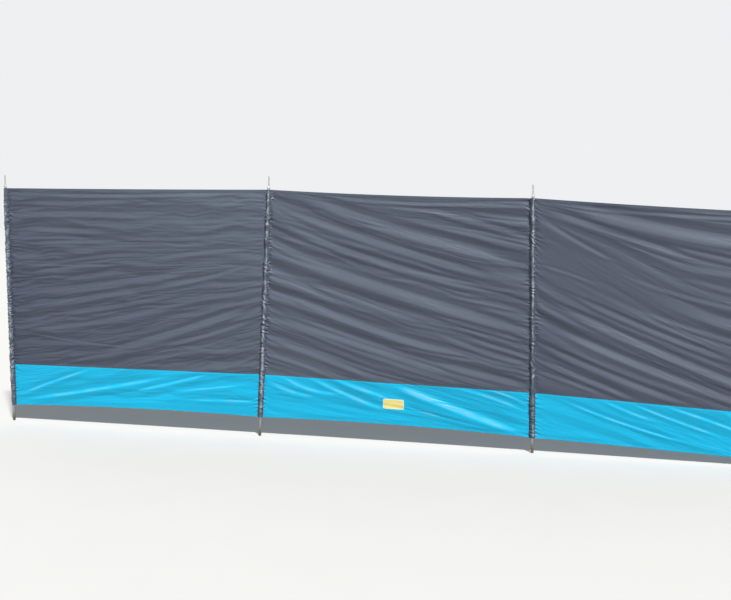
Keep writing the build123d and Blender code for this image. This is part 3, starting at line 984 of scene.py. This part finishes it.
def sleeve_creases(pole, level, offset):
    """Sharp creases that cross a slack sleeve on the slant and leave flat facets, from 0 to about 1."""
    crumple = along_sleeve(level, SLEEVE_CRUMPLE[pole])
    out = np.zeros_like(offset)
    for layer, (spacing, slant) in enumerate(CREASES):
        seed = 90 + 7 * layer + pole
        phase = level / spacing + offset * slant
        phase += 1.1 * lattice_noise(level / (spacing * 2.4), offset / 0.040, seed)
        patches = lattice_noise(level / (spacing * 2.6), offset / 0.060 + 3.3, seed + 30)
        strength = np.clip(crumple + 1.5 * patches, 0, 1.2)
        crest = 1 - np.abs(2 * (phase - np.floor(phase)) - 1)
        out = np.maximum(out, strength * crest)
    return out


def sleeve_points(pole, levels):
    """Grid of points over a sleeve, its edges on the cloth and its tunnel over the pole, and its painted
    highlights and shade.
    """
    left, right = (sleeve_outline(reach, side) for reach, side in zip(sleeve_reach(pole, levels), (-1, 1)))
    offset, depth = (np.concatenate([a[:0:-1], b]).T for a, b in zip(left, right))
    level = np.broadcast_to(levels[:, None], offset.shape)
    foot = CLOTH_MIDDLE - FLAT_LEAD
    on_cloth = rise(depth, foot - 0.006, foot - 0.0005)
    standing = cloth_at(pole, offset, level) + settings("cloth").thickness + SEWN_GAP
    depth = depth - on_cloth * (standing - FLAT_LEAD)
    points = on_pole(pole, level, offset)
    points[..., 1] += depth
    creases = sleeve_creases(pole, level, offset) * (1 - 0.85 * on_cloth)
    points = points + surface_normals(points) * (creases * settings("sleeve").crease)[..., None]
    # Painted highlight along the tunnel's ridge and on the ridges of its creases
    amount = along_sleeve(level, RIDGE_HIGHLIGHTS[pole])
    amount = amount + 0.6 * lattice_noise(level / 0.055, offset / 0.012, 130 + pole)
    painted_light = bump_at(offset, 0.0015, 0.0036) * amount * 1.4
    painted_light = np.where(depth < 0, painted_light + CREASE_HIGHLIGHTS[pole] * creases, 0)
    # Painted highlight on the gathers beside each seam, and painted shade in the valley inside it
    valley = 4 * on_cloth * (1 - on_cloth)
    for side, pale in enumerate(SEAM_HIGHLIGHTS[pole]):
        gathers = seam_gathers(level, np.zeros_like(level), SMALL_GATHERS, seam_seed(pole, 1 - side))
        here = (offset < 0) == (side == 0)
        seam = on_cloth * pale * rise(gathers, 0.0, 0.8) - valley * SEAM_PAINTED_SHADE[pole][side]
        painted_light = painted_light + here * seam
    return points, np.clip(painted_light, -1, 1)


def add_sleeve(pole, material):
    """The creased sleeve sewn over one pole, with the lid that closes its upper end."""
    low, high = SLEEVE_INSET, CLOTH_HEIGHT - SLEEVE_INSET
    levels = np.linspace(low, high, int(round((high - low) / settings("sleeve").step)) + 1)
    points, painted_light = sleeve_points(pole, levels)
    piece = cloth_shell(f"pole_{pole + 1}_sleeve_cloth", points, settings("cloth").thickness, material)
    # The sleeve's painted highlights and painted shade, kept on its points
    store_on_points(piece, "painted_light", painted_light)
    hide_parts(f"pole_{pole + 1}_sleeve")
    lid = add_lid(pole, points[-1][2:-2], material)
    middle = points[len(points) // 2]
    width = float(np.linalg.norm(np.diff(middle, axis=0), axis=1).sum())


def add_lid(pole, front, material):
    """The lid on a sleeve's tunnel, from its rim to the eyelet's hole."""
    back = front[-1] + (front[0] - front[-1]) * np.linspace(0, 1, 8)[1:-1, None]
    outline = np.concatenate([front, back])
    top = on_pole(pole, CLOTH_HEIGHT)
    spokes = (outline - top) * (1, 1, 0)
    inner = top + spokes / np.linalg.norm(spokes, axis=1, keepdims=True) * EYELET_HOLE
    inner[:, 2] = top[2] - (inner[:, 0] - top[0]) * AXES[pole].x
    rings = []
    for share in (0.0, 0.12, 0.35, 0.6, 0.8, 1.0):
        ring = outline + (inner - outline) * share
        ring[:, 2] += 0.00045 * math.sin(math.pi * min(1.0, share * 1.2)) + 0.0003
        rings.append(np.concatenate([ring, ring[:1]]))
    lid = cloth_shell(f"pole_{pole + 1}_sleeve_lid", np.array(rings), LID_THICKNESS, material)
    select_only(lid)
    bpy.ops.object.mode_set(mode="EDIT")
    bpy.ops.mesh.select_all(action="SELECT")
    bpy.ops.mesh.remove_doubles(threshold=0.00001)
    turn_outwards()
    return lid


def add_patch(material):
    """The bare patch sewn on the middle of the middle bay's band."""
    thickness = settings("cloth").thickness
    across, up = np.meshgrid(np.linspace(-1, 1, 41), np.linspace(-1, 1, 21))
    width, height = PATCH_SIZE
    round_corner = 0.035
    x = across * (1 - round_corner * up**10) * width / 2
    z = up * (1 - 2 * round_corner * across**10) * height / 2
    edge = np.maximum(np.abs(across) ** 12, np.abs(up) ** 8)
    points = on_band(x, z, thickness + PATCH_GAP + PATCH_PUFF * (1 - edge))
    piece = cloth_shell("sewn_patch", points, thickness, material)
    inset = np.minimum((1 - np.abs(across)) * width / 2, (1 - np.abs(up)) * height / 2)
    store_on_points(piece, "border", 1 - rise(inset, 0.003, 0.006))
    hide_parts("label_patch")
    f"bay_{MIDDLE_BAY + 1}_light_band"


def on_band(x, z, lift):
    """Points in front of the middle bay's band, from its middle in metres."""
    return cloth_points(MIDDLE_BAY, 0.5 + x / BAY_LENGTHS[MIDDLE_BAY], BAND_HEIGHT / 2 + z, -lift)


def stitch_shapes(path, side):
    """Vertices and faces of stitches, one at each point of a path in front of (-1) or behind (1) a cloth."""
    stitch = settings("stitch")
    along = np.gradient(path, axis=0)
    along /= np.linalg.norm(along, axis=1, keepdims=True)
    out = np.tile((0.0, float(side), 0.0), (len(path), 1))
    half, thick = along * stitch.length / 2, stitch.thread / 2
    ends = path - out * thick * 0.8
    beside, out = np.cross(out, along) * thick, out * thick
    corners = np.stack([ends - half, path + beside, path + out, path - beside, path - out, ends + half], 1)
    ring = ((1, 2), (2, 3), (3, 4), (4, 1))
    pattern = np.array([(0, b, a) for a, b in ring] + [(5, a, b) for a, b in ring])
    faces = np.arange(len(path))[:, None, None] * 6 + pattern
    return corners.reshape(-1, 3), faces.reshape(-1, 3)


def add_stitching(name, rows, material):
    """One piece of all the stitches along several rows of (path, side)."""
    vertices, faces, count = [], [], 0
    for path, side in rows:
        shape, sides = stitch_shapes(path, side)
        vertices.append(shape)
        faces.append(sides + count)
        count += len(shape)
    piece = new_piece(name, np.concatenate(vertices), np.concatenate(faces), material, 180)


def stitch_rows(bay, level, depth):
    """The two rows of stitches along a bay at a level: in front, and behind the turned edge at a depth."""
    pitch = settings("stitch").pitch
    length = BAY_LENGTHS[bay]
    start = -END_OVERHANG if bay == 0 else 0.0
    end = END_OVERHANG if bay == BAYS - 1 else 0.0
    behind = np.arange(start + pitch / 2, length + end, pitch)
    clear = SLEEVE_WIDTH / 2 + 0.004
    front = behind[(behind > clear) & (behind < length - clear)]
    lift = settings("cloth").thickness / 2 + settings("stitch").thread * 0.2
    shares = columns(bay)
    rows = []
    for side, places, layer in ((-1, front, 0.0), (1, behind, depth)):
        edge = cloth_points(bay, shares, level, layer + side * lift)
        rows.append((np.stack([np.interp(places / length, shares, way) for way in edge.T], 1), side))
    return rows


def patch_stitch_row():
    """A row of stitches round the patch, just inside its edge."""
    pitch = settings("stitch").pitch
    wide, high = (size / 2 - PATCH_STITCH for size in PATCH_SIZE)
    across, up = (np.arange(pitch / 2 - far + 0.003, far - 0.003, pitch) for far in (wide, high))
    x = np.concatenate([across, np.full_like(up, wide), across[::-1], np.full_like(up, -wide)])
    z = np.concatenate([np.full_like(across, -high), up, np.full_like(across, high), up[::-1]])
    lift = 1.5 * settings("cloth").thickness + PATCH_GAP + settings("stitch").thread * 0.2
    return on_band(x, z, lift), -1


def sleeve_stitch_row(pole, hand, side):
    """A row of stitches down a sleeve's left (0) or right (1) edge, in front (-1) or behind the cloth (1)."""
    cloth, stitch = settings("cloth"), settings("stitch")
    levels = np.arange(SEWN_EDGE, CLOTH_HEIGHT - SEWN_EDGE, stitch.pitch)
    offset = (2 * hand - 1) * (sleeve_reach(pole, levels)[hand] - settings("sleeve").flange / 2)
    path = on_pole(pole, levels, offset)
    layers, gap = (1.5, 0.0002) if side < 0 else (0.5, 0.0)
    lift = cloth.thickness * layers + stitch.thread * 0.3 + gap
    path[:, 1] += CLOTH_MIDDLE - cloth_at(pole, offset, levels) + side * lift
    return path, side


def turned_piece(name, pole, steps, material):
    """A piece turned about a pole's axis: a disc drawn up and scaled through (height, radius) steps."""
    bottom, radius = steps[0]
    bpy.ops.object.select_all(action="DESELECT")
    bpy.ops.mesh.primitive_circle_add(
        vertices=settings("pole").sides, radius=radius, fill_type="NGON", location=(0, 0, 0)
    )
    piece = bpy.context.object
    piece.name = piece.data.name = name
    bpy.ops.object.mode_set(mode="EDIT")
    bpy.ops.mesh.select_all(action="SELECT")
    for (height, radius), (next_height, next_radius) in zip(steps, steps[1:]):
        bpy.ops.mesh.extrude_region_move(TRANSFORM_OT_translate={"value": (0, 0, next_height - height)})
        ratio = next_radius / radius
        bpy.ops.transform.resize(value=(ratio, ratio, 1), center_override=(0, 0, next_height - bottom))
    turn_outwards()
    lean = Vector((0, 0, 1)).rotation_difference(AXES[pole]).to_matrix().to_4x4()
    place = lower_edge(pole) + AXES[pole] * (COLLAR_LEVEL + bottom)
    piece.data.transform(Matrix.Translation(place) @ lean)
    piece.data.materials.append(material)
    finish_piece(piece, 28)
    return piece


class WINDBREAK_OT_stage(bpy.types.Operator):
    """Add the floor, the lamp, the backdrop and the camera"""

    bl_idname = "windbreak.add_stage"
    bl_label = "Stage"

    def execute(self, context):
        stage = settings("stage")
        middle = (FEET[0] + FEET[-1]) / 2
        bpy.ops.object.select_all(action="DESELECT")
        bpy.ops.mesh.primitive_circle_add(vertices=96, radius=FLOOR_RADIUS, fill_type="NGON", location=middle)
        floor = context.object
        floor.name = "studio_floor"
        bpy.ops.object.transform_apply(location=True)
        floor.data.materials.append(studio_floor("studio_floor", stage.floor, stage.backdrop))
        sun = bpy.data.lights.new("key_light", "SUN")
        sun.energy = stage.key
        sun.angle = SUN_WIDTH
        sun.color = SUN_LIGHT
        lamp = bpy.data.objects.new("key_light", sun)
        context.collection.objects.link(lamp)
        lamp.rotation_euler = Vector(SUN_DIRECTION).to_track_quat("-Z", "Y").to_euler()
        self.add_backdrop(context, stage)
        self.add_camera(context, stage)
        context.scene.view_settings.view_transform = "Standard"
        return {"FINISHED"}

    def add_backdrop(self, context, stage):
        """Soft light from all round, more of it from behind, and a pale backdrop past everything."""
        world = bpy.data.worlds.new("studio")
        context.scene.world = world
        world.use_nodes = True
        sky = Nodes(world.node_tree)
        sky.tree.nodes.clear()
        depth = sky.add("SeparateXYZ", {0: sky.add("TexCoord", output="Generated")}, "Y")
        strength = depth.above(0.0, 0.7, stage.fill, stage.back)
        light = sky.add("Background", {"Color": SKY_LIGHT, "Strength": strength})
        behind = sky.add("Background", {"Color": stage.backdrop})
        both = sky.add("MixShader", {0: sky.seen(), 1: light, 2: behind})
        sky.plug(sky.tree.nodes.new("ShaderNodeOutputWorld").inputs["Surface"], both)

    def add_camera(self, context, stage):
        camera = bpy.data.objects.new("camera", bpy.data.cameras.new("camera"))
        context.collection.objects.link(camera)
        context.scene.camera = camera
        camera.data.lens = stage.lens
        camera.data.sensor_width = 36.0
        flat = math.cos(stage.dip)
        view = Vector((flat * math.cos(stage.heading), flat * math.sin(stage.heading), -math.sin(stage.dip)))
        turn = view.to_track_quat("-Z", "Y").to_matrix() @ Matrix.Rotation(stage.roll, 3, "Z")
        camera.matrix_world = Matrix.Translation(stage.camera) @ turn.to_4x4()


class WINDBREAK_OT_cloth(bpy.types.Operator):
    """Add the dark cloth and the light band of every bay"""

    bl_idname = "windbreak.add_cloth"
    bl_label = "Cloth"

    def execute(self, context):
        cloth = settings("cloth")
        # The dark cloth runs from its shadowed to its sunlit colour by the painted light stored on its points
        dark = woven_cloth("dark_cloth", cloth.sunlit, cloth.shadowed, 0.50, sunlit=True)
        blue, shade = tint(cloth.light, 1.03), tint(cloth.light, 0.91)
        # The band turns to its painted highlight colour on the lit faces of its folds
        light = woven_cloth("light_cloth", blue, shade, 0.34, painted_light=cloth.crest_highlights)
        for bay in range(BAYS):
            add_upper_cloth(bay, dark)
            add_band(bay, light)
        return {"FINISHED"}


class WINDBREAK_OT_sleeves(bpy.types.Operator):
    """Add the sleeves over the poles"""

    bl_idname = "windbreak.add_sleeves"
    bl_label = "Sleeves"

    def execute(self, context):
        sleeve = settings("sleeve")
        colour, shade = tint(sleeve.dark, 1.03), tint(sleeve.dark, 0.83)
        # The sleeves take the painted highlight and painted shade stored on their points
        tight = woven_cloth("sleeve_cloth", colour, shade, 0.42, painted_light=sleeve.painted_light)
        for pole in range(POLES):
            add_sleeve(pole, tight)
        return {"FINISHED"}


class WINDBREAK_OT_patch(bpy.types.Operator):
    """Add the bare sewn patch"""

    bl_idname = "windbreak.add_patch"
    bl_label = "Patch"

    def execute(self, context):
        colour, shade = (tint(settings("cloth").patch, factor) for factor in (1.03, 0.90))
        add_patch(woven_cloth("patch_cloth", colour, shade, 0.5, border=PATCH_BORDER))
        return {"FINISHED"}


class WINDBREAK_OT_stitching(bpy.types.Operator):
    """Add the rows of stitches along hems, seams, sleeves and patch"""

    bl_idname = "windbreak.add_stitching"
    bl_label = "Stitching"

    def execute(self, context):
        dark = thread("dark_thread", tint(settings("sleeve").dark, 1.9))
        light = thread("light_thread", LIGHT_THREAD)
        for bay in range(BAYS):
            rows = stitch_rows(bay, TOP_STITCH, HEM_DEPTH)
            for level in SEAM_STITCHES:
                rows += stitch_rows(bay, level, TURNED_DEPTH)
            add_stitching(f"bay_{bay + 1}_dark_stitches", rows, dark)
            rows = stitch_rows(bay, BOTTOM_STITCH, HEM_DEPTH)
            add_stitching(f"bay_{bay + 1}_light_stitches", rows, light)
        for pole in range(POLES):
            rows = [sleeve_stitch_row(pole, hand, side) for hand in (0, 1) for side in (-1, 1)]
            add_stitching(f"pole_{pole + 1}_sleeve_stitches", rows, dark)
        pale = thread("pale_thread", PATCH_THREAD)
        add_stitching("patch_stitches", [patch_stitch_row()], pale)
        return {"FINISHED"}


class WINDBREAK_OT_tips(bpy.types.Operator):
    """Add the turned pins and collars on the poles' tips"""

    bl_idname = "windbreak.add_tips"
    bl_label = "Tips"

    def execute(self, context):
        steel = turned_steel("turned_steel", settings("pole").pin)
        for pole in range(POLES):
            for name, steps in (("collar", COLLAR), ("pin", PIN)):
                piece = turned_piece(f"pole_{pole + 1}_{name}", pole, steps, steel)
                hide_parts(f"pole_{pole + 1}_tip_{name}")
        return {"FINISHED"}


class WINDBREAK_OT_poles(bpy.types.Operator):
    """Finish the steel tubes, plugs and eyelets"""

    bl_idname = "windbreak.finish_poles"
    bl_label = "Poles"

    def execute(self, context):
        pole = settings("pole")
        finishes = {
            "_tube": galvanised_steel("galvanised_steel", pole.steel),
            "_plug": moulded_plastic("moulded_plastic", pole.plug),
            "_eyelet": turned_steel("eyelet_steel", pole.pin),
        }
        for name, node in frame["nodes"].items():
            for ending, finish in finishes.items():
                if name.endswith(ending):
                    node.data.materials.clear()
                    node.data.materials.append(finish)
        return {"FINISHED"}


class WINDBREAK_PT_panel(bpy.types.Panel):
    """The windbreak's steps, in order"""

    bl_idname = "WINDBREAK_PT_panel"
    bl_label = "Windbreak"
    bl_space_type = "VIEW_3D"
    bl_region_type = "UI"
    bl_category = "Windbreak"

    def draw(self, context):
        for operator in OPERATORS:
            self.layout.operator(operator.bl_idname)
        for name in SETTINGS:
            group = getattr(context.scene, name)
            box = self.layout.box()
            for setting in group.__annotations__:
                box.prop(group, setting)


SETTINGS = {
    "windbreak_cloth": ClothSettings,
    "windbreak_sleeve": SleeveSettings,
    "windbreak_stitch": StitchSettings,
    "windbreak_pole": PoleSettings,
    "windbreak_stage": StageSettings,
}
OPERATORS = (
    WINDBREAK_OT_stage,
    WINDBREAK_OT_cloth,
    WINDBREAK_OT_sleeves,
    WINDBREAK_OT_patch,
    WINDBREAK_OT_stitching,
    WINDBREAK_OT_tips,
    WINDBREAK_OT_poles,
)


def register():
    for kind in (*SETTINGS.values(), *OPERATORS, WINDBREAK_PT_panel):
        bpy.utils.register_class(kind)
    for name, group in SETTINGS.items():
        setattr(bpy.types.Scene, name, bpy.props.PointerProperty(type=group))


def unregister():
    for name in SETTINGS:
        delattr(bpy.types.Scene, name)
    for kind in (WINDBREAK_PT_panel, *reversed(OPERATORS), *reversed(SETTINGS.values())):
        bpy.utils.unregister_class(kind)


def main():
    register()
    bpy.ops.object.select_all(action="DESELECT")
    bpy.ops.windbreak.add_stage()
    bpy.ops.windbreak.add_cloth()
    bpy.ops.windbreak.add_sleeves()
    bpy.ops.windbreak.add_patch()
    bpy.ops.windbreak.add_stitching()
    bpy.ops.windbreak.add_tips()
    bpy.ops.windbreak.finish_poles()


if __name__ == "__main__":
    main()
